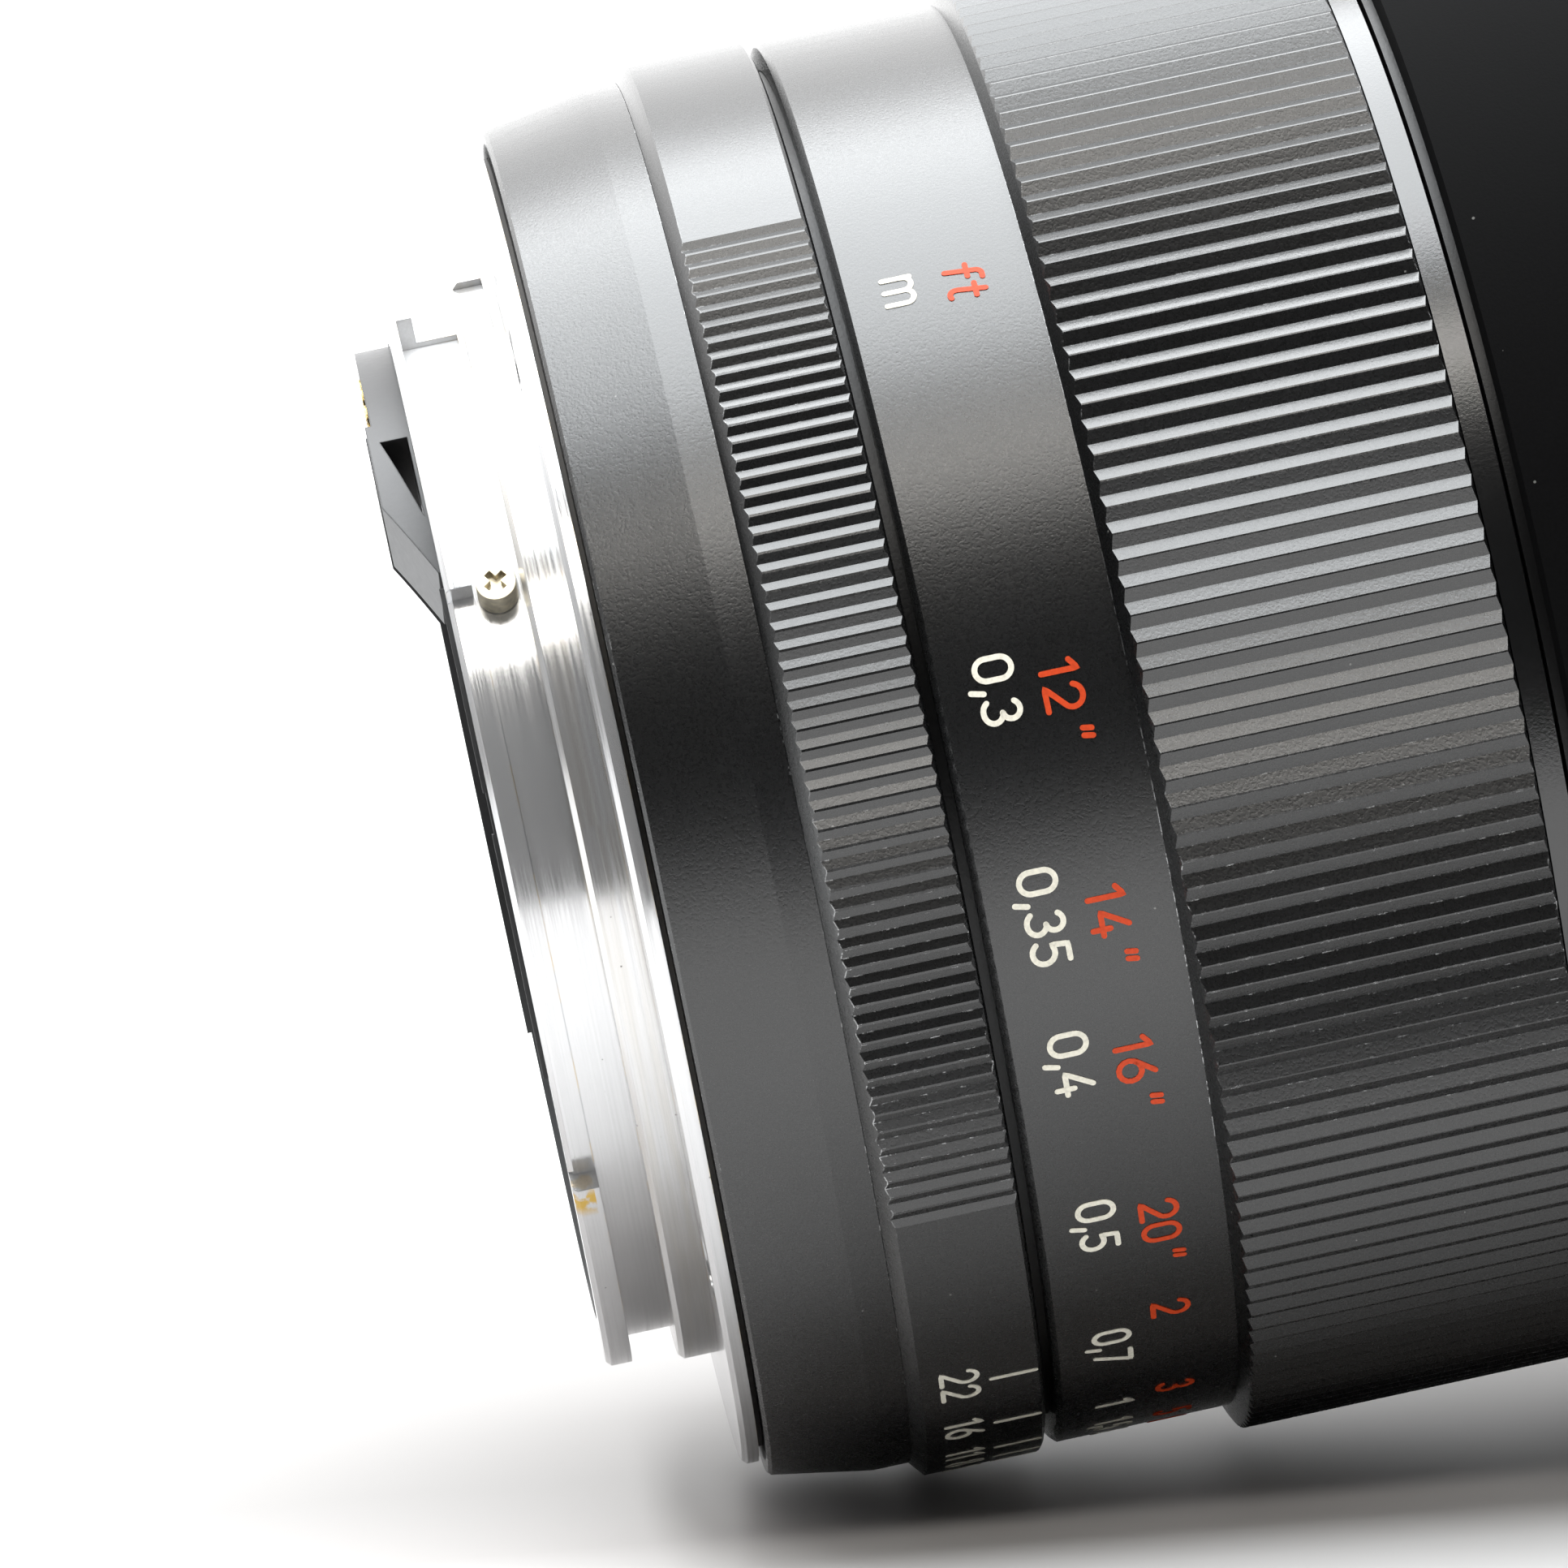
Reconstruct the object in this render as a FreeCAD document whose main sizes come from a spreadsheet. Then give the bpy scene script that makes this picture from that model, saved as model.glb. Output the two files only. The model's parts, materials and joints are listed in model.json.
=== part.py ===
import FreeCAD, Part
import Sketcher
import math
import os

# Prime lens for a 54 mm bayonet single-lens reflex body, with its petal hood.
# Frame: +X is the optical axis towards the subject, the origin is the centre of the flange
# seat, the focusing index is at -Z and the contact block at +Z.  Lengths are in mm.

doc = FreeCAD.newDocument("PrimeLens")
sizes = doc.addObject("Spreadsheet::Sheet", "Sizes")

SIZES = {
    "datum": 20,                     # sketches are drawn this far in front of their own origin
    # chrome bayonet
    "tube_rear": -5.4, "tube_bore": 24.2, "tube_radius": 25.4,
    "spigot_rear": -1.9, "spigot_radius": 27.0,
    "seat": 0, "flange_radius": 32.6, "flange_front": 0.8, "boss_front": 3.0,
    "lug_front": -4.15, "lug_radius": 26.6, "lug_angle": 55, "lug_centre": 246, "lug_count": 3,
    "rim_chamfer": 0.25, "lug_step": 0.08,
    "key_cut_rear": -4.9, "key_cut_front": -2.2, "key_cut_floor": 25.05, "key_cut_span": 13,
    "key_cut_centre": 117.5, "lock_rear": -2.5, "lock_front": -0.5, "lock_floor": 26.7,
    "lock_span": 15, "lock_centre": 112.5,
    "mount_screw_circle": 29.8, "mount_screw_hole": 1.05, "mount_screw_shank": 0.98,
    "mount_head_hole": 1.95, "mount_head_radius": 1.85, "mount_head_depth": 0.55,
    "head_sink": 0.1, "screw_turn": 45, "mount_screw_count": 4,
    "stop_screw_x": -3.05, "stop_screw_angle": 333.95, "stop_screw_hole": 0.65,
    "stop_shank_radius": 0.6, "stop_head_radius": 0.94, "stop_head_base": 25.45,
    "stop_head_height": 1.5, "stop_shank_inner": 24.3, "stop_slot_length": 1.12,
    "stop_slot_half": 0.56, "stop_slot_width": 0.34, "stop_slot_side": 0.17,
    "stop_slot_depth": 0.6, "stop_slot_base": 26.5, "stop_slot_turn": 35,
    # electrical contacts
    "block_rear": -7.4, "block_front": -4.7, "block_inner": 19.5, "block_outer": 24.0,
    "block_angle": 116, "block_foot_rear": -5.5, "block_step_rear": -7.1, "block_step_angle": 66,
    "block_end_near": 322.7, "block_end_far": 217.3, "block_end_out": 0.5,
    "block_end_low": 2.2, "block_end_high": 3.33, "block_end_reach": 9,
    "window_near": 314, "window_far": 226, "window_rear": -6.85, "window_front": -5.55,
    "window_high": 3.1, "window_low": 2.5,
    "pad_count": 8, "pad_radius": 0.85, "pad_thickness": 0.1, "pad_circle": 21.9, "pad_pitch": 8.5,
    "block_screw_radius": 1.0, "block_screw_hole": 1.06, "block_screw_height": 0.35,
    "block_screw_circle": 21.8, "block_screw_angle": 41,
    # light baffle behind the rear glass
    "baffle_rear": -4.6, "baffle_front": -3.6, "baffle_rim_rear": -5.62, "baffle_radius": 24.0,
    "baffle_rim_inner": 23.2, "baffle_core": 19.3, "baffle_angle": 240,
    "baffle_half_width": 15.5, "baffle_half_height": 10.5, "baffle_side_low": 11.1,
    "baffle_step": -5.42, "notch_top": 2.43, "notch_low": 0.5, "notch_floor": -5.52,
    # fixed barrel
    "shim_front": 1.1, "shim_inner": 27.3, "shim_radius": 31.9,
    "barrel_rear_radius": 33.37, "barrel_radius": 34.2, "cone_front": 6.16,
    "barrel_front": 7.88, "barrel_bore": 27.1, "barrel_seat": 3.1, "barrel_wall": 31.0,
    "edge_break": 0.17, "bead_x": 3.7, "bead_radius": 1.1, "bead_hole": 1.15, "bead_base": 32.7,
    "bead_height": 0.95, "bead_turn": 150,
    "depth_rear": 8.37, "depth_front": 14.23, "depth_radius": 34.96, "depth_foot": 7.9,
    "depth_lip": 14.36, "depth_lip_radius": 34.4,
    "depth_bore": 33.35, "depth_chamfer": 0.15, "depth_root": 34.79,
    "depth_ribs": 55, "depth_rib_span": 81, "depth_rib_near": 44.66, "depth_rib_far": 234.34,
    "depth_cut_half": 0.66, "depth_cut_height": 0.277,
    "sleeve_outer": 33.3, "sleeve_inner": 32.0, "sleeve_front": 34.0, "sleeve_nose": 30.95,
    "sleeve_core": 27.95, "sleeve_step": 7.96, "sleeve_web": 10.0,
    "guide_inner": 26.0, "guide_outer": 27.4, "guide_front": 30.0, "guide_foot": 5.0,
    "guide_foot_radius": 27.9,
    "key_rear": 24.0, "key_length": 4.0, "key_width": 3.0, "key_half": 1.5,
    "key_base": 27.4, "key_height": 1.6,
    "board_rear": 10.1, "board_front": 11.2, "board_inner": 29.2, "board_outer": 31.5,
    # focusing ring group
    "focus_rear": 14.86, "scale_break": 0.27, "scale_radius": 34.74, "grip_rear": 23.96, "grip_front": 40.4,
    "grip_root": 35.72, "grip_crest": 36.0, "grip_chamfer": 0.15, "grip_cone": 0.37,
    "focus_bore": 33.36, "focus_step": 34.3, "focus_counterbore": 33.9,
    "grip_ribs": 180, "grip_rib_first": 1.93, "grip_cut_half": 0.89, "grip_cut_height": 0.415,
    "front_ring_rear": 40.48, "front_ring_front": 41.76, "front_ring_break": 0.06,
    "front_ring_radius": 35.65, "front_ring_inner": 33.0, "front_ring_tongue": 36.4,
    "front_ring_seat": 33.85,
    "helicoid_rear": 14.0, "helicoid_inner": 30.2, "helicoid_outer": 31.7,
    "helicoid_web": 34.4, "helicoid_front": 36.3, "helicoid_rim": 33.85,
    # sliding front barrel
    "carrier_rear": 12.0, "carrier_bore": 27.48, "carrier_outer": 29.9, "carrier_nose": 37.0,
    "carrier_nose_radius": 32.6, "carrier_front": 46.0, "carrier_step": 31.0,
    "carrier_core": 26.5, "slot_rear": 16.4, "slot_front": 28.6, "slot_half": 1.6,
    "cell_outer": 26.45, "cell_tail": 25.6, "front_cell_rear": 24.6,
    "rear_cell_rear": 3.4, "rear_cell_front": 20.4, "rear_cell_neck": 16.2,
    "rear_cell_shoulder": 16.5, "cell_wall": 1.6, "cell_lip": 0.8,
    "seat_1": 37.2, "seat_2": 37.8, "seat_2_front": 38.9, "seat_3": 31.2, "seat_4": 25.2,
    "seat_6": 12.95, "seat_8": 6.3,
    "front_retainer_rear": 44.4, "front_retainer_front": 45.9, "front_retainer_inner": 18.6,
    "front_retainer_mouth": 19.4, "rear_retainer_front": 4.5, "ring_inner": 13,
    "ring_outer": 14, "spacer_rear": 35.15, "spacer_front": 37.7,
    "name_front": 49.0, "name_outer": 27.7, "name_lip": 27.1, "name_inner": 20.6,
    "filter_rear": 46.05, "filter_outer": 32.0, "filter_front": 53.0, "filter_seat": 49.0,
    "filter_thread": 28.6, "filter_bore": 27.8,
    "hood_ring_rear": 46.2, "hood_ring_front": 52.0, "hood_ring_radius": 33.0,
    # diaphragm
    "iris_rear": 20.5, "iris_plate": 21.0, "iris_front": 24.5, "iris_opening": 9.8,
    "iris_chamber": 17.0, "pivot_circle": 15.5, "pivot_radius": 0.5, "pivot_hole": 0.56,
    "blade_first": 21.1, "blade_pitch": 0.22, "blade_thickness": 0.12, "blade_inner": 10.3,
    "blade_outer": 14.85, "blade_angle": 105, "blade_boss": 1.2, "blade_count": 9,
    "cam_rear": 23.4, "cam_front": 24.2, "cam_inner": 10.6, "cam_outer": 16.6,
    "cam_slot_inner": 12.6, "cam_slot_outer": 15.4,
    "drive_rear": 5.5, "drive_length": 9.5, "drive_width": 9.0, "drive_base": 17.2,
    "drive_height": 6.2,
    "cam_slot_half": 0.7, "drive_half": 4.5, "seat_gap": 0.05,
    # hood
    "hood_rear": 41.87, "hood_rear_radius": 37.0, "hood_rear_inner": 33.6, "hood_lip": 0.45,
    "hood_lip_radius": 35.85, "hood_shoulder": 0.12,
    "hood_bore": 33.06, "hood_cone_rear": 52.6, "hood_cone_inner": 35.0, "hood_front": 76.0,
    "hood_front_radius": 43.5, "hood_front_inner": 42.0,
    "valley_x": 79.0, "valley_radius": 15.0, "side_cut_x": 69.5, "side_cut_half": 24.0,
    "valley_turn": 45, "valley_count": 4,
    # directions of turned sketches, in degrees
    "up": 90, "down": 270, "left": 180, "right": 360, "half_turn": 180,
}

# Glass: rear vertex, front vertex, rim radius, then the rear and front surface radii.
# A surface radius is positive where the surface bulges towards the subject.
GLASS = {
    "element_1": (45.0, 47.5, 20.0, 30.0, 55.0),
    "element_2": (38.5, 42.8, 16.0, 200.0, 40.0),
    "element_3": (35.4, 37.0, 14.0, 26.0, 45.0),
    "element_4": (28.0, 33.5, 12.0, -35.0, 30.0),
    "element_5": (26.5, 27.95, 12.0, 60.0, -35.0),
    "element_6": (16.3, 17.4, 10.5, 30.0, -22.0),
    "element_7": (11.5, 16.25, 10.5, -28.0, 30.0),
    "element_8": (7.8, 11.0, 12.0, -24.0, -40.0),
    "element_9": (3.2, 7.2, 14.0, -60.0, 80.0),
}
GLASS_SIZES = ("rear", "front", "radius", "rear_curve", "front_curve")

ALONG_X = FreeCAD.Rotation(FreeCAD.Vector(0, 1, 0), 90)
ABOUT_X = FreeCAD.Vector(1, 0, 0)
TO_YZ = FreeCAD.Rotation(FreeCAD.Vector(0, 1, 0), FreeCAD.Vector(0, 0, 1),
                         FreeCAD.Vector(1, 0, 0), "ZXY")
PARTS = []


def fill_sheet():
    """Write every size as a plain number with its alias."""
    rows = list(SIZES.items())
    for name, values in GLASS.items():
        rows += [(name + "_" + key, value) for key, value in zip(GLASS_SIZES, values)]
    for row, (alias, value) in enumerate(rows, 1):
        sizes.set("A%d" % row, alias)
        sizes.set("B%d" % row, str(value))
        sizes.setAlias("B%d" % row, alias)
    doc.recompute()


def number(text):
    """Value of a sum of aliases and plain numbers, such as 'seat + 0.5'."""
    total, sign = 0.0, 1
    for token in text.split():
        if token in "+-":
            sign = 1 if token == "+" else -1
        else:
            total += sign * (float(token) if token[0].isdigit() else float(sizes.get(token)))
    return total


def bound(text):
    """The same sum as a sheet expression."""
    words = [t if t in "+-" or t[0].isdigit() else "Sizes." + t for t in text.split()]
    return " ".join(words)


def signed(text, sign):
    """The sum itself, or its negative."""
    return text if sign > 0 else "0 - " + text.replace(" + ", " - ")


def bind(thing, **sums):
    for prop, text in sums.items():
        thing.setExpression(prop.replace("__", "."), bound(text))


def keep(thing, label):
    """Register a finished sub-part under its node name."""
    thing.Label = label
    PARTS.append(thing)
    return thing


# ---------------------------------------------------------------- sketched bodies

def plane(body, role):
    return next(f for f in body.Origin.OriginFeatures if f.Role == role)


def new_body(label):
    body = doc.addObject("PartDesign::Body", label)
    body.setExpression("Placement.Base.x", "-Sizes.datum")
    return keep(body, label)


def new_sketch(body, role, turn="", axis=FreeCAD.Vector(0, 0, 1)):
    """Sketch on an origin plane, turned by an angle of the sheet about one of its own axes."""
    sketch = body.newObject("Sketcher::SketchObject", "outline")
    sketch.AttachmentSupport = (plane(body, role), [""])
    sketch.MapMode = "FlatFace"
    if turn:
        sketch.AttachmentOffset = FreeCAD.Placement(FreeCAD.Vector(),
                                                    FreeCAD.Rotation(axis, number(turn)))
        sketch.setExpression("AttachmentOffset.Rotation.Angle", bound(turn))
    return sketch


def pin_point(sketch, shape, point, x, y):
    """Hold one point of a sketch at two sums of the sheet."""
    for kind, text, axis in (("DistanceX", x, -2), ("DistanceY", y, -1)):
        if text == "0":
            sketch.addConstraint(Sketcher.Constraint("PointOnObject", shape, point, axis))
            continue
        spot = sketch.addConstraint(
            Sketcher.Constraint(kind, -1, 1, shape, point, number(text)))
        sketch.setExpression("Constraints[%d]" % spot, bound(text))


def draw_outline(sketch, points):
    """Closed polygon with every corner held to the sheet."""
    corners = [FreeCAD.Vector(number(x), number(y), 0) for x, y in points]
    count = len(corners)
    lines = [Part.LineSegment(corners[i], corners[(i + 1) % count]) for i in range(count)]
    sketch.addGeometry(lines, False)
    sketch.addConstraint([Sketcher.Constraint("Coincident", i, 2, (i + 1) % count, 1)
                          for i in range(count)])
    for i, (x, y) in enumerate(points):
        pin_point(sketch, i, 1, x, y)


def revolve(body, points, angle="", centre="", kind="PartDesign::Revolution"):
    """Turn an (x, radius) outline about the optical axis, fully or centred on an angle."""
    sketch = new_sketch(body, "XY_Plane", centre, FreeCAD.Vector(1, 0, 0))
    draw_outline(sketch, [("datum + " + x, radius) for x, radius in points])
    feature = body.newObject(kind, "turning")
    feature.Profile = sketch
    feature.ReferenceAxis = (sketch, ["H_Axis"])
    if angle:
        feature.Midplane = True
        bind(feature, Angle=angle)
    else:
        feature.Angle = 360
    body.Tip = feature
    doc.recompute()
    return feature


def turned(label, points):
    """A body of revolution about the optical axis."""
    body = new_body(label)
    revolve(body, points)
    return body


def pattern(body, features, count, span=""):
    """Repeat features round the optical axis, over a full turn or a stated span."""
    polar = body.newObject("PartDesign::PolarPattern", "polar")
    polar.Originals = features
    polar.Axis = (plane(body, "X_Axis"), [""])
    polar.Angle = 360
    body.Tip = polar
    bind(polar, Occurrences=count)
    if span:
        bind(polar, Angle=span)
    doc.recompute()
    return polar


def pocket(body, sketch, length=""):
    """Cut a sketch along its normal: right through one way, or to a length."""
    before = body.Tip.Shape.Volume
    cut = body.newObject("PartDesign::Pocket", "cut")
    cut.Profile = sketch
    cut.Type = "Length" if length else "ThroughAll"
    if length:
        bind(cut, Length=length)
    cut.Reversed = True
    body.Tip = cut
    doc.recompute()
    if before - cut.Shape.Volume < 1e-6:
        raise ValueError("pocket removes nothing in " + body.Label)
    return cut


def outline_pocket(body, role, points, turn="", axis=FreeCAD.Vector(0, 0, 1), length=""):
    sketch = new_sketch(body, role, turn, axis)
    draw_outline(sketch, points)
    return pocket(body, sketch, length)


def circle_sketch(body, role, x, y, radius, turn="", axis=FreeCAD.Vector(0, 0, 1)):
    sketch = new_sketch(body, role, turn, axis)
    centre = FreeCAD.Vector(number(x), number(y), 0)
    sketch.addGeometry(Part.Circle(centre, FreeCAD.Vector(0, 0, 1), number(radius)), False)
    pin_point(sketch, 0, 3, x, y)
    spot = sketch.addConstraint(Sketcher.Constraint("Radius", 0, number(radius)))
    sketch.setExpression("Constraints[%d]" % spot, bound(radius))
    return sketch


def axial_hole(body, circle, radius, turn="", length=""):
    """Hole along the optical axis, at a distance from it."""
    return pocket(body, circle_sketch(body, "YZ_Plane", "0", circle, radius, turn), length)


def radial_hole(body, x, radius, turn):
    """Hole from the optical axis outwards at an angle from -Y towards -Z."""
    sketch = circle_sketch(body, "XZ_Plane", "datum + " + x, "0", radius, turn,
                           FreeCAD.Vector(1, 0, 0))
    return pocket(body, sketch)


def rib_groove(body, root, half, height, turn=""):
    """One V groove along the axis; its root is at the given radius."""
    top = root + " + " + height
    return outline_pocket(body, "YZ_Plane", [("0", root), (half, top), ("0 - " + half, top)],
                          turn)


# ---------------------------------------------------------------- primitives

def cylinder(name, radius, height, angle=""):
    solid = doc.addObject("Part::Cylinder", name)
    bind(solid, Radius=radius, Height=height)
    if angle:
        bind(solid, Angle=angle)
    return solid


def box(name, length, width, height):
    solid = doc.addObject("Part::Box", name)
    bind(solid, Length=length, Width=width, Height=height)
    return solid


def place(solid, x, y="0", z="0", turn=None):
    """Position from the sheet, after an optional fixed rotation."""
    if turn:
        solid.Placement.Rotation = turn
    bind(solid, Placement__Base__x=x, Placement__Base__y=y, Placement__Base__z=z)
    return solid


def ring_spot(radius, angle):
    """Sheet expressions for y and z at a radius and an angle in degrees from +Y."""
    return ["(%s) * %s(%g deg)" % (bound(radius), fn, angle) for fn in ("cos", "sin")]


def stud(name, radius, height, x, circle, angle):
    """Cylinder parallel to the optical axis, standing on x and pointing to +X."""
    solid = cylinder(name, radius, height)
    solid.Placement.Rotation = ALONG_X
    y, z = ring_spot(circle, angle)
    bind(solid, Placement__Base__x=x)
    solid.setExpression("Placement.Base.y", y)
    solid.setExpression("Placement.Base.z", z)
    return solid


def aim(whole, x, angle):
    """Bring a part modelled along +Z to x, turned to an angle from -Y towards -Z."""
    whole.Placement = FreeCAD.Placement(FreeCAD.Vector(number(x), 0, 0),
                                        FreeCAD.Rotation(ABOUT_X, number(angle) + 90))
    bind(whole, Placement__Base__x=x, Placement__Rotation__Angle=angle + " + 90")


def joined(label, solids, kind="Part::MultiFuse"):
    """One node from several primitives: fused, or kept as separate solids."""
    whole = doc.addObject(kind, label)
    if kind == "Part::Compound":
        whole.Links = solids
    else:
        whole.Shapes = solids
    doc.recompute()
    return keep(whole, label)


# ---------------------------------------------------------------- fixed group

def bayonet_mount():
    body = turned("bayonet_mount", [
        ("tube_rear", "tube_bore"), ("tube_rear", "tube_radius - rim_chamfer"),
        ("tube_rear + rim_chamfer", "tube_radius"), ("lug_front", "tube_radius"),
        ("lug_front", "tube_radius - lug_step"), ("spigot_rear", "tube_radius - lug_step"),
        ("spigot_rear", "spigot_radius - rim_chamfer"),
        ("spigot_rear + rim_chamfer", "spigot_radius"), ("seat", "spigot_radius"),
        ("seat", "flange_radius - rim_chamfer"), ("seat + rim_chamfer", "flange_radius"),
        ("flange_front", "flange_radius"), ("flange_front", "spigot_radius"),
        ("boss_front", "spigot_radius"), ("boss_front", "tube_bore")])
    lug = revolve(body, [("tube_rear", "tube_bore + 0.4"),
                         ("tube_rear", "lug_radius - rim_chamfer"),
                         ("tube_rear + rim_chamfer", "lug_radius"),
                         ("lug_front", "lug_radius"), ("lug_front", "tube_bore + 0.4")],
                  "lug_angle", "lug_centre")
    pattern(body, [lug], "lug_count")
    head = axial_hole(body, "mount_screw_circle", "mount_head_hole", "screw_turn",
                      "datum + mount_head_depth")
    shank = axial_hole(body, "mount_screw_circle", "mount_screw_hole", "screw_turn")
    pattern(body, [head, shank], "mount_screw_count")
    radial_hole(body, "stop_screw_x", "stop_screw_hole", "stop_screw_angle")
    for rear, front, floor, span, centre in (
            ("key_cut_rear", "key_cut_front", "key_cut_floor", "key_cut_span", "key_cut_centre"),
            ("lock_rear", "lock_front", "lock_floor", "lock_span", "lock_centre")):
        revolve(body, [(rear, floor), (rear, "flange_radius"), (front, "flange_radius"),
                       (front, floor)], span, centre, "PartDesign::Groove")


def screw_solids(name, angle):
    """Countersunk-seat screw of the bayonet: a flat head over its shank."""
    head = stud(name + "_head", "mount_head_radius", "mount_head_depth - head_sink",
                "head_sink", "mount_screw_circle", angle)
    shank = stud(name + "_shank", "mount_screw_shank", "flange_front - mount_head_depth",
                 "mount_head_depth", "mount_screw_circle", angle)
    screw = doc.addObject("Part::MultiFuse", name)
    screw.Shapes = [head, shank]
    return screw


def mount_screws():
    count = int(number("mount_screw_count"))
    first = 90 + number("screw_turn")
    joined("mount_screws", [screw_solids("mount_screw_%d" % (i + 1), first + 360 * i / count)
                            for i in range(count)], "Part::Compound")


def bayonet_stop_screw():
    """Radial screw whose head limits the twist of the bayonet."""
    shank = cylinder("stop_shank", "stop_shank_radius", "stop_head_base - stop_shank_inner")
    head = cylinder("stop_head", "stop_head_radius", "stop_head_height")
    place(shank, "0", "0", "stop_shank_inner")
    place(head, "0", "0", "stop_head_base")
    slot = [box("stop_slot_a", "stop_slot_length", "stop_slot_width", "stop_slot_depth"),
            box("stop_slot_b", "stop_slot_width", "stop_slot_length", "stop_slot_depth")]
    place(slot[0], "0 - stop_slot_half", "0 - stop_slot_side", "stop_slot_base")
    place(slot[1], "0 - stop_slot_side", "0 - stop_slot_half", "stop_slot_base")
    screw = doc.addObject("Part::MultiFuse", "stop_blank")
    screw.Shapes = [shank, head]
    cross = doc.addObject("Part::MultiFuse", "stop_cross")
    cross.Shapes = slot
    cross.Placement.Rotation = FreeCAD.Rotation(FreeCAD.Vector(0, 0, 1), number("stop_slot_turn"))
    bind(cross, Placement__Rotation__Angle="stop_slot_turn")
    done = doc.addObject("Part::Cut", "bayonet_stop_screw")
    done.Base, done.Tool = screw, cross
    aim(done, "stop_screw_x", "stop_screw_angle")
    keep(done, "bayonet_stop_screw")


def contact_block():
    """Arc-shaped contact block with sloped ends and an open window near each end."""
    body = new_body("contact_block")
    revolve(body, [("block_rear", "block_inner"), ("block_rear", "block_outer"),
                   ("block_front", "block_outer"), ("block_front", "block_inner")],
            "block_angle", "up")
    revolve(body, [("block_rear - 1", "block_inner - 1"), ("block_rear - 1", "block_outer + 1"),
                   ("block_step_rear", "block_outer + 1"),
                   ("block_step_rear", "block_inner - 1")],
            "block_step_angle", "up", "PartDesign::Groove")
    out, foot = "datum + block_rear - block_end_out", "datum + block_foot_rear"
    rear, front = "datum + window_rear", "datum + window_front"
    for side, end, window in ((1, "block_end_near", "window_near"),
                              (-1, "block_end_far", "window_far")):
        outline_pocket(body, "XZ_Plane", [
            (out, signed("block_end_high", side)), (foot, signed("block_end_low", -side)),
            (out, signed("block_end_low + block_end_reach", -side))], end, ABOUT_X)
        outline_pocket(body, "XZ_Plane", [
            (rear, signed("window_high", side)), (front, signed("window_high", side)),
            (front, signed("window_low", -side))], window, ABOUT_X)
        axial_hole(body, "block_screw_circle", "block_screw_hole",
                   signed("block_screw_angle", side),
                   "datum + block_rear + head_sink + block_screw_height")


def contact_pads():
    count = int(number("pad_count"))
    first = 90 - number("pad_pitch") * (count - 1) / 2
    joined("contact_pads", [
        stud("contact_pad_%d" % (i + 1), "pad_radius", "pad_thickness",
             "block_step_rear - pad_thickness", "pad_circle", first + number("pad_pitch") * i)
        for i in range(count)], "Part::Compound")


def contact_block_screws():
    joined("contact_block_screws", [
        stud("block_screw_%d" % (i + 1), "block_screw_radius", "block_screw_height",
             "block_rear + head_sink", "block_screw_circle",
             90 + side * number("block_screw_angle"))
        for i, side in enumerate((-1, 1))], "Part::Compound")


def rear_baffle():
    """Black plate with a rectangular light opening and a rim inside the bayonet tube."""
    body = new_body("rear_baffle")
    revolve(body, [("baffle_rear", "baffle_core - 1"), ("baffle_rear", "baffle_rim_inner"),
                   ("baffle_rim_rear", "baffle_rim_inner"), ("baffle_rim_rear", "baffle_radius"),
                   ("baffle_front", "baffle_radius"), ("baffle_front", "baffle_core - 1")],
            "baffle_angle", "down")
    plate = body.newObject("PartDesign::Pad", "plate")
    plate.Profile = circle_sketch(body, "YZ_Plane", "0", "0", "baffle_core")
    plate.Profile[0].AttachmentOffset = FreeCAD.Placement(
        FreeCAD.Vector(0, 0, number("datum + baffle_rear")), FreeCAD.Rotation())
    plate.Profile[0].setExpression("AttachmentOffset.Base.z", bound("datum + baffle_rear"))
    bind(plate, Length="baffle_front - baffle_rear")
    body.Tip = plate
    doc.recompute()
    half_y, half_z = "baffle_half_width", "baffle_half_height"
    outline_pocket(body, "YZ_Plane", [
        (half_y, half_z), ("0 - " + half_y, half_z),
        ("0 - " + half_y, "0 - " + half_z), (half_y, "0 - " + half_z)])
    out, step, notch = "datum + block_rear", "datum + baffle_step", "datum + notch_floor"
    for turn, low in (("", -1), ("half_turn", 1)):
        near, far = signed("baffle_side_low", low), signed("baffle_radius + 1", low)
        outline_pocket(body, "XZ_Plane", [(out, near), (step, near), (step, far), (out, far)],
                       turn, ABOUT_X)
    outline_pocket(body, "XZ_Plane", [(out, "notch_top"), (notch, "notch_top"),
                                      (notch, "notch_low"), (out, "notch_low")], "", ABOUT_X)


def mount_shim():
    turned("mount_shim", [("flange_front", "shim_inner"), ("flange_front", "shim_radius"),
                          ("shim_front", "shim_radius"), ("shim_front", "shim_inner")])


def rear_barrel():
    """Black ring behind the depth-of-field scale, with the seat of the bayonet."""
    body = turned("rear_barrel", [
        ("shim_front", "barrel_bore"), ("shim_front", "barrel_rear_radius - edge_break"),
        ("shim_front + edge_break", "barrel_rear_radius"), ("cone_front", "barrel_radius"),
        ("barrel_front", "barrel_radius"), ("barrel_front", "barrel_wall"),
        ("barrel_seat", "barrel_wall"), ("barrel_seat", "barrel_bore")])
    radial_hole(body, "bead_x", "bead_hole", "bead_turn")


def alignment_bead():
    """Index bead used to line the lens up with the camera."""
    stem = cylinder("bead_stem", "bead_radius", "bead_height")
    dome = doc.addObject("Part::Sphere", "bead_dome")
    bind(dome, Radius="bead_radius")
    place(stem, "0", "0", "bead_base")
    place(dome, "0", "0", "bead_base + bead_height")
    done = doc.addObject("Part::MultiFuse", "alignment_bead")
    done.Shapes = [stem, dome]
    aim(done, "bead_x", "bead_turn")
    keep(done, "alignment_bead")


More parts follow.
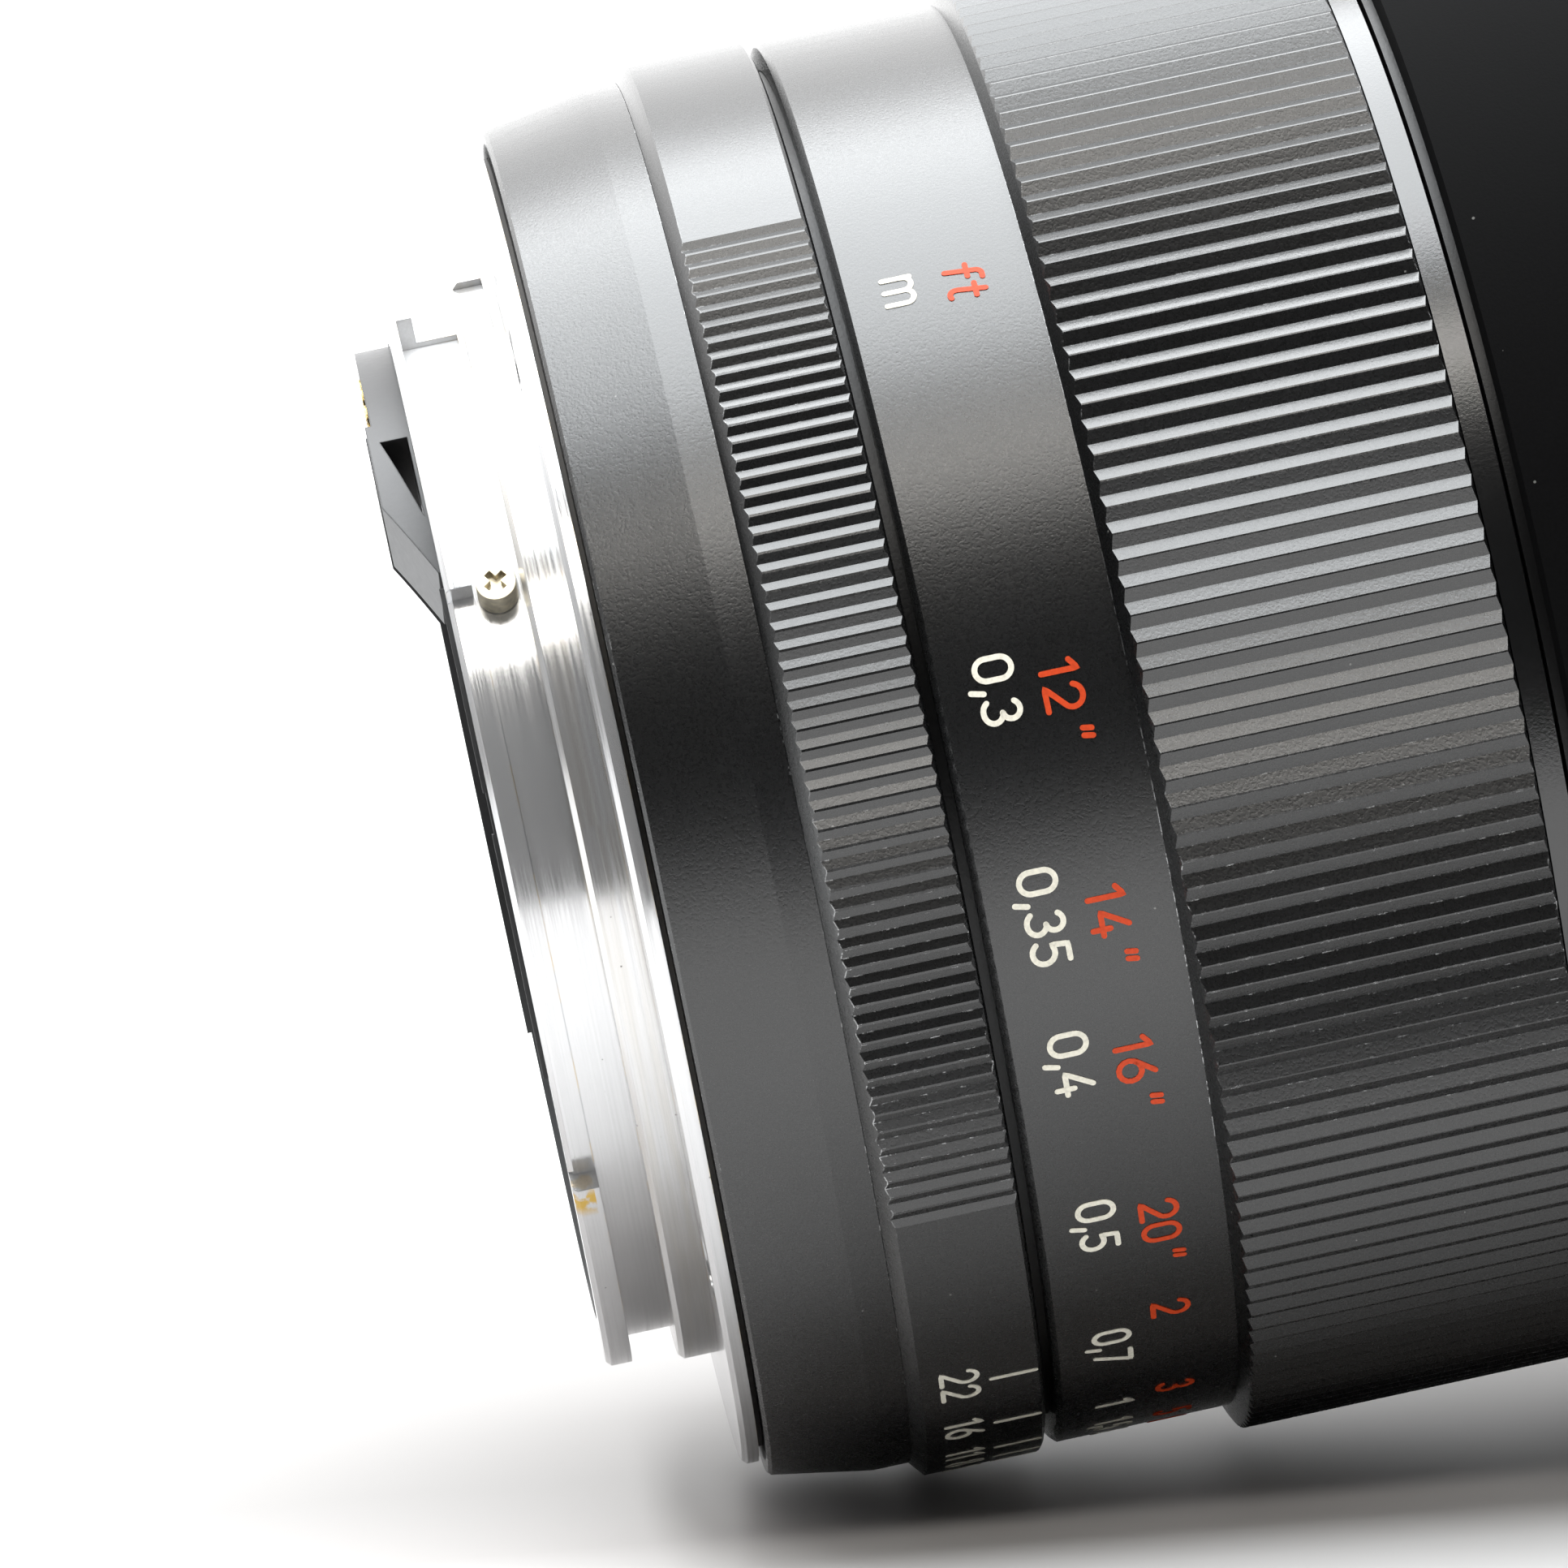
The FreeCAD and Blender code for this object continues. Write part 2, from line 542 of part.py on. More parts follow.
def depth_scale_ring():
    """Depth-of-field ring with two ribbed sides and smooth scale and back."""
    body = turned("depth_scale_ring", [
        ("depth_foot", "depth_bore"), ("depth_foot", "barrel_radius"),
        ("depth_rear", "depth_root"),
        ("depth_rear + depth_chamfer", "depth_radius"),
        ("depth_front - depth_chamfer", "depth_radius"), ("depth_front", "depth_root"),
        ("depth_lip", "depth_lip_radius"), ("depth_lip", "depth_bore")])
    for turn in ("depth_rib_near", "depth_rib_far"):
        groove = rib_groove(body, "depth_root", "depth_cut_half", "depth_cut_height", turn)
        pattern(body, [groove], "depth_ribs", "depth_rib_span")


def main_barrel():
    """Fixed sleeve that carries the focusing ring."""
    turned("main_barrel", [
        ("barrel_seat", "sleeve_core"), ("barrel_seat", "sleeve_nose"),
        ("sleeve_step", "sleeve_nose"), ("sleeve_step", "sleeve_outer"),
        ("sleeve_front", "sleeve_outer"), ("sleeve_front", "sleeve_inner"),
        ("sleeve_web", "sleeve_inner"), ("sleeve_web", "sleeve_core")])


def guide_tube():
    """Fixed tube on which the front barrel slides."""
    turned("guide_tube", [
        ("barrel_seat", "guide_inner"), ("barrel_seat", "guide_foot_radius"),
        ("guide_foot", "guide_foot_radius"), ("guide_foot", "guide_outer"),
        ("guide_front", "guide_outer"), ("guide_front", "guide_inner")])


def guide_keys():
    """Two keys that keep the front barrel from turning."""
    keys = []
    for name, sign, turn in (("guide_key_1", 1, 0), ("guide_key_2", -1, 180)):
        key = box(name, "key_length", "key_width", "key_height")
        keys.append(place(key, "key_rear", signed("key_half", -sign), signed("key_base", sign),
                          FreeCAD.Rotation(ABOUT_X, turn)))
    joined("guide_keys", keys, "Part::Compound")


def circuit_board():
    turned("circuit_board", [("board_rear", "board_inner"), ("board_rear", "board_outer"),
                             ("board_front", "board_outer"), ("board_front", "board_inner")])


# ---------------------------------------------------------------- focusing group

def focus_ring():
    """Distance scale and ribbed grip in one piece."""
    body = turned("focus_ring", [
        ("focus_rear", "focus_bore"), ("focus_rear", "scale_radius - scale_break"),
        ("focus_rear + scale_break", "scale_radius"), ("grip_rear - grip_cone", "scale_radius"),
        ("grip_rear", "grip_root"), ("grip_rear + grip_chamfer", "grip_crest"),
        ("grip_front - grip_chamfer", "grip_crest"), ("grip_front", "grip_root"),
        ("grip_front", "focus_counterbore"), ("focus_step", "focus_counterbore"),
        ("focus_step", "focus_bore")])
    groove = rib_groove(body, "grip_root", "grip_cut_half", "grip_cut_height", "grip_rib_first")
    pattern(body, [groove], "grip_ribs")


def focus_front_ring():
    """Smooth front ring of the focusing grip, screwed into its mouth."""
    turned("focus_front_ring", [
        ("front_ring_tongue", "front_ring_inner"), ("front_ring_tongue", "front_ring_seat"),
        ("front_ring_rear", "front_ring_seat"), ("front_ring_rear", "front_ring_radius"),
        ("front_ring_front - front_ring_break", "front_ring_radius"),
        ("front_ring_front", "front_ring_radius - front_ring_break"),
        ("front_ring_front", "front_ring_inner")])


def focus_helicoid():
    """Screw sleeve that the focusing ring turns to drive the front barrel."""
    turned("focus_helicoid", [
        ("helicoid_rear", "helicoid_inner"), ("helicoid_rear", "helicoid_outer"),
        ("helicoid_web", "helicoid_outer"), ("helicoid_web", "helicoid_rim"),
        ("helicoid_front", "helicoid_rim"), ("helicoid_front", "helicoid_inner")])


# ---------------------------------------------------------------- sliding group

def front_barrel():
    """Sliding barrel with two keyways."""
    body = turned("front_barrel", [
        ("carrier_rear", "carrier_bore"), ("carrier_rear", "carrier_outer"),
        ("carrier_nose", "carrier_outer"), ("carrier_nose", "carrier_nose_radius"),
        ("carrier_front", "carrier_nose_radius"), ("carrier_front", "carrier_core"),
        ("carrier_step", "carrier_core"), ("carrier_step", "carrier_bore")])
    rear, front, half = "datum + slot_rear", "datum + slot_front", "slot_half"
    for turn in ("up", "down"):
        outline_pocket(body, "XZ_Plane", [(rear, half), (front, half), (front, "0 - " + half),
                                          (rear, "0 - " + half)], turn, ABOUT_X)


def front_cell():
    """Cell of the glass in front of the diaphragm."""
    turned("front_cell", [
        ("front_cell_rear", "cell_tail"), ("carrier_step", "cell_tail"),
        ("carrier_step", "cell_outer"), ("carrier_front", "cell_outer"),
        ("carrier_front", "element_1_radius + seat_gap"),
        ("seat_1", "element_1_radius + seat_gap"), ("seat_1", "element_2_radius + cell_wall"),
        ("seat_2_front", "element_2_radius + cell_wall"),
        ("seat_2_front", "element_2_radius + seat_gap"),
        ("seat_2", "element_2_radius + seat_gap"), ("seat_2", "element_3_radius + seat_gap"),
        ("seat_3", "element_3_radius + seat_gap"), ("seat_3", "element_4_radius + seat_gap"),
        ("seat_4", "element_4_radius + seat_gap"), ("seat_4", "element_4_radius - cell_lip"),
        ("front_cell_rear", "element_4_radius - cell_lip")])


def rear_cell():
    """Cell of the glass behind the diaphragm."""
    turned("rear_cell", [
        ("rear_cell_rear", "element_9_radius + seat_gap"), ("rear_cell_rear", "rear_cell_neck"),
        ("rear_cell_shoulder", "rear_cell_neck"), ("rear_cell_shoulder", "cell_tail"),
        ("rear_cell_front", "cell_tail"), ("rear_cell_front", "element_6_radius + seat_gap"),
        ("seat_6", "element_6_radius + seat_gap"), ("seat_6", "element_8_radius + seat_gap"),
        ("seat_8", "element_8_radius + seat_gap"), ("seat_8", "element_9_radius + seat_gap")])


def rim_sag(name, side):
    """Sheet expression for the depth of a spherical surface at the rim."""
    return "(abs(Sizes.{0}_{1}_curve) - sqrt(Sizes.{0}_{1}_curve ^ 2 - Sizes.{0}_radius ^ 2))" \
        .format(name, side)


def glass_element(name):
    """Lens: a rim cylinder kept inside the bulging surfaces and hollowed by the others."""
    rear_curve, front_curve = (number(name + side) for side in ("_rear_curve", "_front_curve"))
    low, high = "Sizes.%s_rear" % name, "Sizes.%s_front" % name
    if rear_curve > 0:
        low += " - " + rim_sag(name, "rear")
    if front_curve < 0:
        high += " + " + rim_sag(name, "front")
    blank = doc.addObject("Part::Cylinder", name + "_blank")
    bind(blank, Radius=name + "_radius")
    blank.Placement.Rotation = ALONG_X
    blank.setExpression("Height", "%s - (%s)" % (high, low))
    blank.setExpression("Placement.Base.x", low)
    whole = blank
    for side, hollow in (("front", front_curve < 0), ("rear", rear_curve > 0)):
        ball = doc.addObject("Part::Sphere", "%s_%s_ball" % (name, side))
        ball.setExpression("Radius", "abs(Sizes.%s_%s_curve)" % (name, side))
        bind(ball, Placement__Base__x="%s_%s - %s_%s_curve" % (name, side, name, side))
        step = doc.addObject("Part::Cut" if hollow else "Part::Common",
                             "%s_%s_surface" % (name, side))
        step.Base, step.Tool = whole, ball
        whole = step
    keep(whole, name)


def small_rings():
    """Retaining rings, the spacer and the turned rings at the front."""
    turned("front_retaining_ring", [
        ("front_retainer_rear", "front_retainer_inner"),
        ("front_retainer_rear", "element_1_radius"),
        ("front_retainer_front", "element_1_radius"),
        ("front_retainer_front", "front_retainer_mouth")])
    for label, rear, front in (("rear_retaining_ring", "rear_cell_rear", "rear_retainer_front"),
                               ("element_spacer", "spacer_rear", "spacer_front")):
        turned(label, [(rear, "ring_inner"), (rear, "ring_outer"),
                       (front, "ring_outer"), (front, "ring_inner")])
    turned("name_ring", [("filter_rear", "name_inner"), ("filter_rear", "name_outer"),
                         ("name_front", "name_outer"), ("name_front", "name_lip")])
    turned("filter_ring", [
        ("filter_rear", "filter_bore"), ("filter_rear", "filter_outer"),
        ("filter_front - edge_break", "filter_outer"),
        ("filter_front", "filter_outer - edge_break"), ("filter_front", "filter_thread"),
        ("filter_seat", "filter_thread"), ("filter_seat", "filter_bore")])
    turned("hood_mount_ring", [
        ("hood_ring_rear", "filter_outer"), ("hood_ring_rear", "hood_ring_radius"),
        ("hood_ring_front", "hood_ring_radius"), ("hood_ring_front", "filter_outer")])


# ---------------------------------------------------------------- diaphragm

def iris_housing():
    body = turned("iris_housing", [
        ("iris_rear", "iris_opening"), ("iris_rear", "cell_tail"), ("iris_front", "cell_tail"),
        ("iris_front", "iris_chamber"), ("iris_plate", "iris_chamber"),
        ("iris_plate", "iris_opening")])
    hole = axial_hole(body, "pivot_circle", "pivot_hole")
    pattern(body, [hole], "blade_count")


def iris_cam_ring():
    """Ring that turns all blades; one radial slot for each."""
    body = turned("iris_cam_ring", [("cam_rear", "cam_inner"), ("cam_rear", "cam_outer"),
                                    ("cam_front", "cam_outer"), ("cam_front", "cam_inner")])
    half = "cam_slot_half"
    slot = outline_pocket(body, "YZ_Plane", [
        (half, "cam_slot_inner"), (half, "cam_slot_outer"),
        ("0 - " + half, "cam_slot_outer"), ("0 - " + half, "cam_slot_inner")])
    pattern(body, [slot], "blade_count")


def iris_blade(index):
    """Curved leaf in its own layer, with a pivot pin in the housing."""
    name = "iris_blade_%d" % (index + 1)
    layer = "blade_first" + " + blade_pitch" * index
    outer = cylinder(name + "_outer", "blade_outer", "blade_thickness", "blade_angle")
    inner = cylinder(name + "_inner", "blade_inner", "blade_thickness")
    leaf = doc.addObject("Part::Cut", name + "_leaf")
    leaf.Base, leaf.Tool = outer, inner
    boss = cylinder(name + "_boss", "blade_boss", "blade_thickness")
    place(boss, "pivot_circle")
    pin = cylinder(name + "_pin", "pivot_radius", layer + " - iris_rear")
    place(pin, "pivot_circle", "0", "iris_rear - blade_first" + " - blade_pitch" * index)
    blade = doc.addObject("Part::MultiFuse", name)
    blade.Shapes = [leaf, boss, pin]
    turn = FreeCAD.Rotation(ABOUT_X, 360.0 * index / number("blade_count") + 90)
    place(blade, layer, turn=turn.multiply(TO_YZ))
    keep(blade, name)


def iris_drive():
    motor = box("iris_drive", "drive_length", "drive_width", "drive_height")
    place(motor, "drive_rear", "0 - drive_half", "drive_base")
    keep(motor, "iris_drive")


# ---------------------------------------------------------------- hood

def lens_hood():
    """Flared petal hood that twists on the front ring."""
    body = turned("lens_hood", [
        ("hood_rear", "hood_rear_inner"), ("hood_rear", "hood_lip_radius"),
        ("hood_rear + hood_lip", "hood_lip_radius"),
        ("hood_rear + hood_lip + hood_shoulder", "hood_rear_radius"), ("hood_front", "hood_front_radius"),
        ("hood_front", "hood_front_inner"), ("hood_cone_rear", "hood_cone_inner"),
        ("hood_cone_rear", "hood_bore"), ("filter_rear", "hood_bore"),
        ("filter_rear", "hood_rear_inner")])
    valley = pocket(body, circle_sketch(body, "XZ_Plane", "datum + valley_x", "0",
                                        "valley_radius", "valley_turn", ABOUT_X))
    pattern(body, [valley], "valley_count")
    far, near, half = "datum + hood_front + 5", "datum + side_cut_x", "side_cut_half"
    for turn in ("left", "right"):
        outline_pocket(body, "XZ_Plane", [(near, half), (far, half), (far, "0 - " + half),
                                          (near, "0 - " + half)], turn, ABOUT_X)


# ---------------------------------------------------------------- build and export

def build():
    for make in (bayonet_mount, mount_screws, bayonet_stop_screw, contact_block, contact_pads,
                 contact_block_screws, rear_baffle, mount_shim, rear_barrel, alignment_bead,
                 depth_scale_ring, main_barrel, guide_tube, guide_keys, circuit_board,
                 focus_ring, focus_front_ring, focus_helicoid, front_barrel, front_cell,
                 rear_cell, small_rings, iris_housing, iris_cam_ring, iris_drive, lens_hood):
        make()
    for name in GLASS:
        glass_element(name)
    for index in range(int(number("blade_count"))):
        iris_blade(index)
    doc.recompute()


def export():
    os.makedirs("parts", exist_ok=True)
    for thing in doc.Objects:
        if "Invalid" in thing.State or "Error" in thing.State:
            raise ValueError("failed feature: " + thing.Name)
    for part in PARTS:
        if part.Shape.isNull() or not part.Shape.isValid():
            raise ValueError("bad shape: " + part.Label)
        part.Shape.exportStep("parts/%s.step" % part.Label)
        print(part.Label, round(part.Shape.Volume, 2), len(part.Shape.Solids))


fill_sheet()
build()
export()
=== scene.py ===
import json
import math

import bmesh
import bpy
from mathutils import Matrix, Vector


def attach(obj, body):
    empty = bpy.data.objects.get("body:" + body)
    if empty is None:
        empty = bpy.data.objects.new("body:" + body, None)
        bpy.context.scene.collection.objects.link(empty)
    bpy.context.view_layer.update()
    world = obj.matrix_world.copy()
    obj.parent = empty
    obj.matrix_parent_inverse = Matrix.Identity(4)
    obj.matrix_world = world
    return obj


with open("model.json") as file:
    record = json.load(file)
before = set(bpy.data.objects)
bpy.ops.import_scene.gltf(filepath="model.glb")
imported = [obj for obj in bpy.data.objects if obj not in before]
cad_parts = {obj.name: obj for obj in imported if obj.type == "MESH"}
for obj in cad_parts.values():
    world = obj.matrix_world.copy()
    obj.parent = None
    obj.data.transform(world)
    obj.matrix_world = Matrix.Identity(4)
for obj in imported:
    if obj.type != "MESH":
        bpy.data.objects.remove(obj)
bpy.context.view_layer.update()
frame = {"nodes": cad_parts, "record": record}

MM = 0.001


# ---------------------------------------------------------------- node helpers

class Nodes:
    """Short hand for building one material's node tree."""

    def __init__(self, name):
        self.mat = bpy.data.materials.new(name)
        self.mat.use_nodes = True
        self.tree = self.mat.node_tree
        self.tree.nodes.clear()
        out = self.add("ShaderNodeOutputMaterial")
        self.bsdf = self.add("ShaderNodeBsdfPrincipled")
        self.link(self.bsdf.outputs[0], out.inputs["Surface"])

    def add(self, kind, **values):
        node = self.tree.nodes.new(kind)
        for key, value in values.items():
            if hasattr(node, key):
                setattr(node, key, value)
            else:
                node.inputs[key.replace("_", " ")].default_value = value
        return node

    def link(self, a, b):
        self.tree.links.new(a, b)

    def put(self, socket, value):
        """Feed an input from a socket or set it to a number."""
        if isinstance(value, (int, float, tuple)):
            socket.default_value = value
        else:
            self.link(value, socket)

    def math(self, operation, a, b=0.0, clamp=False):
        node = self.add("ShaderNodeMath", operation=operation, use_clamp=clamp)
        self.put(node.inputs[0], a)
        self.put(node.inputs[1], b)
        return node.outputs[0]

    def ramp(self, value, *stops):
        node = self.add("ShaderNodeValToRGB")
        marks = node.color_ramp.elements
        while len(marks) < len(stops):
            marks.new(0.5)
        for mark, (spot, colour) in zip(marks, stops):
            mark.position = spot
            mark.color = (*colour, 1.0) if isinstance(colour, tuple) else (*(colour,) * 3, 1.0)
        self.put(node.inputs[0], value)
        return node.outputs[0]

    def mix(self, amount, a, b):
        node = self.add("ShaderNodeMix", data_type="RGBA")
        self.put(node.inputs[0], amount)
        for socket, value in ((node.inputs[6], a), (node.inputs[7], b)):
            if isinstance(value, tuple):
                value = (*value, 1.0)
            self.put(socket, value)
        return node.outputs[2]

    def place(self):
        """Object coordinates in millimetres."""
        coords = self.add("ShaderNodeTexCoord")
        scale = self.add("ShaderNodeVectorMath", operation="SCALE")
        self.link(coords.outputs["Object"], scale.inputs[0])
        scale.inputs["Scale"].default_value = 1000.0
        return scale.outputs[0]

    def turning(self):
        """(x, radius, angle) sockets about the optical axis, in mm and radians."""
        split = self.add("ShaderNodeSeparateXYZ")
        self.link(self.place(), split.inputs[0])
        x, y, z = split.outputs
        radius = self.math("SQRT", self.math("ADD", self.math("MULTIPLY", y, y),
                                             self.math("MULTIPLY", z, z)))
        return x, radius, self.math("ARCTAN2", z, y)

    def share(self, angle):
        """Share of a full turn, from the camera side downwards."""
        return self.math("DIVIDE", self.math("ADD", angle, math.pi), 2 * math.pi)

    def combine(self, x, y, z):
        node = self.add("ShaderNodeCombineXYZ")
        for socket, value in zip(node.inputs, (x, y, z)):
            self.put(socket, value)
        return node.outputs[0]

    def noise(self, vector, scale, detail=2.0, rough=0.5):
        node = self.add("ShaderNodeTexNoise", Scale=scale, Detail=detail, Roughness=rough)
        self.put(node.inputs["Vector"], vector)
        return node.outputs["Fac"]

    def bump(self, height, strength, distance, normal=None):
        node = self.add("ShaderNodeBump", Strength=strength, Distance=distance)
        self.put(node.inputs["Height"], height)
        if normal is not None:
            self.link(normal, node.inputs["Normal"])
        return node.outputs[0]

    def dots(self, vector, scale, radius, rarity):
        """Scattered small spots: 1 inside a spot, 0 elsewhere."""
        cells = self.add("ShaderNodeTexVoronoi", Scale=scale)
        self.put(cells.inputs["Vector"], vector)
        near = self.math("LESS_THAN", cells.outputs["Distance"], radius)
        chance = self.add("ShaderNodeSeparateColor")
        self.link(cells.outputs["Color"], chance.inputs[0])
        return self.math("MULTIPLY", near, self.math("GREATER_THAN", chance.outputs[0], rarity))

    def edge(self, radius):
        """How far the rounded normal leaves the face normal: 0 on faces, up on sharp edges."""
        bevel = self.add("ShaderNodeBevel", samples=4)
        bevel.inputs["Radius"].default_value = radius
        face = self.add("ShaderNodeNewGeometry")
        dot = self.add("ShaderNodeVectorMath", operation="DOT_PRODUCT")
        self.link(bevel.outputs[0], dot.inputs[0])
        self.link(face.outputs["Normal"], dot.inputs[1])
        return self.math("SUBTRACT", 1.0, dot.outputs["Value"], clamp=True), bevel.outputs[0]


# ---------------------------------------------------------------- materials

def anodised(name, shade=0.003, rough=0.28, grain=1.0, level=0.8, ribs_from=None, wear=0.0):
    """Satin black anodising over blasted aluminium, worn through on sharp edges."""
    n = Nodes(name)
    spot = n.place()
    x, _, angle = n.turning()
    fine = n.noise(spot, 7.0, 3.0, 0.65)
    base = n.mix(n.ramp(n.noise(spot, 0.25, 3.0), (0.3, 0.0), (0.75, 1.0)), (shade,) * 3,
                 (shade * 1.5, shade * 1.55, shade * 1.7))
    patchy = n.ramp(n.noise(spot, 1.6, 5.0, 0.8), (0.56, 0.0), (0.62, 1.0))
    sharp = n.ramp(n.edge(0.00008)[0], (0.02, 0.0), (0.08, 1.0))
    if ribs_from is not None:
        # fingers wear the ribs on the lower camera side, most of all their rear tips
        turn = n.share(angle)
        handled = n.ramp(turn, (0.0, 0.2), (0.03, 0.8), (0.085, 1.0), (0.105, 0.0),
                         (0.85, 0.0), (0.88, 0.5), (0.92, 0.5), (0.95, 0.1))
        tip = n.math("LESS_THAN", x, ribs_from + 0.45)
        chipped = n.ramp(n.noise(spot, 2.4, 2.0), (0.50, 0.0), (0.54, 1.0))
        patchy = n.math("MAXIMUM", n.math("MULTIPLY", tip, chipped), patchy)
        sharp = n.math("MULTIPLY", n.math("MULTIPLY", sharp, handled),
                       n.math("GREATER_THAN", x, ribs_from))
    worn = n.math("MULTIPLY", n.math("MULTIPLY", patchy, sharp), wear, clamp=True)
    speck = n.math("MULTIPLY", n.dots(spot, 0.75, 0.04, 0.80), 0.35)
    base = n.mix(speck, base, (0.42, 0.42, 0.40))
    n.put(n.bsdf.inputs["Base Color"], n.mix(worn, base, (0.85, 0.86, 0.87)))
    n.put(n.bsdf.inputs["Metallic"], n.math("MULTIPLY", worn, 0.2))
    n.put(n.bsdf.inputs["Roughness"],
          n.math("ADD", n.math("MULTIPLY", fine, 0.16 * grain), rough - 0.08 * grain))
    n.bsdf.inputs["Specular IOR Level"].default_value = level
    n.put(n.bsdf.inputs["Normal"], n.bump(fine, 0.45 * grain, 0.00003))
    return n.mat


HOOD_BAND_END = 42.32       # mm, front end of the satin band


def hood_black(name):
    """Matt black hood with a narrow satin band at its rear edge."""
    n = Nodes(name)
    spot = n.place()
    x = n.turning()[0]
    band = n.math("LESS_THAN", x, HOOD_BAND_END)
    fine = n.noise(spot, 7.0, 3.0, 0.65)
    base = n.mix(n.ramp(fine, (0.3, 0.0), (0.7, 1.0)), (0.0025, 0.0025, 0.0026),
                 (0.0035, 0.0035, 0.0037))
    base = n.mix(n.math("MULTIPLY", n.dots(spot, 0.6, 0.05, 0.7), 0.3), base,
                 (0.4, 0.4, 0.38))
    n.put(n.bsdf.inputs["Base Color"], base)
    matt = n.math("ADD", 0.58, n.math("MULTIPLY", fine, 0.12))
    n.put(n.bsdf.inputs["Roughness"], n.math("SUBTRACT", matt, n.math("MULTIPLY", band, 0.3)))
    n.put(n.bsdf.inputs["Specular IOR Level"],
          n.math("ADD", 0.03, n.math("MULTIPLY", band, 0.27)))
    n.put(n.bsdf.inputs["Normal"], n.bump(fine, 0.3, 0.00003))
    return n.mat


def brushed_chrome(name):
    """Turned chrome: fine rings round the axis, tarnish, painted shade on sharp edges, brass at
    one lug.
    """
    n = Nodes(name)
    spot = n.place()
    x, radius, angle = n.turning()
    rings = n.noise(n.combine(n.math("MULTIPLY", x, 8.0), n.math("MULTIPLY", radius, 8.0),
                              n.math("MULTIPLY", angle, 1.2)), 1.0, 3.0, 0.6)
    broad = n.noise(n.combine(n.math("MULTIPLY", x, 2.0), radius,
                              n.math("MULTIPLY", angle, 2.5)), 1.0, 2.0)
    on_spigot = n.math("MULTIPLY", n.math("GREATER_THAN", x, -2.0),
                       n.math("LESS_THAN", radius, 27.3))
    tarnish = n.math("MULTIPLY", on_spigot, n.ramp(broad, (0.35, 0.0), (0.65, 0.4)))
    base = n.mix(tarnish, (0.63, 0.63, 0.635), (0.50, 0.46, 0.39))
    base = n.mix(n.ramp(rings, (0.35, 0.0), (0.65, 0.16)), base, (0.3, 0.3, 0.3))
    sharp = n.edge(0.00012)[0]
    corner = n.math("MULTIPLY", n.ramp(sharp, (0.25, 0.0), (0.4, 1.0)),
                    n.ramp(n.noise(spot, 0.5, 3.0), (0.5, 0.0), (0.62, 1.0)))
    # painted shade: sharp edges are darkened into thin grey lines
    base = n.mix(n.ramp(sharp, (0.05, 0.0), (0.3, 0.55)), base, (0.15, 0.165, 0.185))
    turn = n.share(angle)
    # the end of one lug is worn down to brass beside the key cut
    rubbed = n.ramp(turn, (0.107, 0.0), (0.108, 1.0), (0.1135, 1.0), (0.1165, 0.0))
    rubbed = n.math("MULTIPLY", rubbed, n.math("LESS_THAN", x, -4.4))
    rubbed = n.math("MULTIPLY", rubbed,
                    n.ramp(n.noise(spot, 1.3, 3.0), (0.46, 0.0), (0.54, 1.0)))
    corner = n.math("MAXIMUM", corner, rubbed)
    pits = n.math("MULTIPLY", n.dots(spot, 1.1, 0.05, 0.70), 0.8)
    base = n.mix(pits, n.mix(corner, base, (0.60, 0.40, 0.10)), (0.06, 0.05, 0.045))
    n.put(n.bsdf.inputs["Base Color"], base)
    # the cuts at the top are duller, with less mirroring of the dark room
    cut = n.ramp(turn, (0.79, 0.0), (0.80, 1.0), (0.85, 1.0), (0.86, 0.0))
    n.put(n.bsdf.inputs["Metallic"], n.math("SUBTRACT", 0.74, n.math("MULTIPLY", cut, 0.5)))
    n.put(n.bsdf.inputs["Roughness"], n.ramp(rings, (0.35, 0.12), (0.65, 0.24)))
    n.put(n.bsdf.inputs["Normal"], n.bump(rings, 0.12, 0.00002))
    return n.mat


def metal(name, colour, rough=0.3, scale=3.0, spread=0.15):
    """Plain machined metal with fine uneven polish."""
    n = Nodes(name)
    grain = n.noise(n.place(), scale, 4.0, 0.6)
    darker = tuple(c * 0.7 for c in colour)
    n.put(n.bsdf.inputs["Base Color"], n.mix(n.ramp(grain, (0.3, 0.0), (0.7, 1.0)),
                                             darker, colour))
    n.bsdf.inputs["Metallic"].default_value = 1.0
    n.put(n.bsdf.inputs["Roughness"], n.math("ADD", n.math("MULTIPLY", grain, spread),
                                             rough - spread / 2))
    n.put(n.bsdf.inputs["Normal"], n.bump(grain, 0.15, 0.00002, n.edge(0.0001)[1]))
    return n.mat


def moulded(name, colour, rough=0.45, grain=2.5, strength=0.15):
    """Moulded or painted surface with a faint texture."""
    n = Nodes(name)
    speckle = n.noise(n.place(), grain, 4.0, 0.6)
    lighter = tuple(min(1.0, c * 1.4 + 0.004) for c in colour)
    n.put(n.bsdf.inputs["Base Color"], n.mix(n.ramp(speckle, (0.35, 0.0), (0.7, 1.0)),
                                             colour, lighter))
    n.put(n.bsdf.inputs["Roughness"], n.math("ADD", n.math("MULTIPLY", speckle, 0.15),
                                             rough - 0.07))
    n.put(n.bsdf.inputs["Normal"], n.bump(speckle, strength, 0.00004, n.edge(0.0001)[1]))
    return n.mat


def coated_glass(name, tint):
    """Polished lens glass with a coloured reflection from its coating."""
    n = Nodes(name)
    shimmer = n.noise(n.place(), 0.05, 2.0)
    n.put(n.bsdf.inputs["Base Color"], n.mix(shimmer, (0.95, 0.97, 0.97), (0.90, 0.94, 0.97)))
    n.put(n.bsdf.inputs["Roughness"], n.math("MULTIPLY", n.noise(n.place(), 1.5, 3.0), 0.02))
    n.bsdf.inputs["Transmission Weight"].default_value = 1.0
    n.bsdf.inputs["IOR"].default_value = 1.6
    n.bsdf.inputs["Specular Tint"].default_value = (*tint, 1.0)
    return n.mat


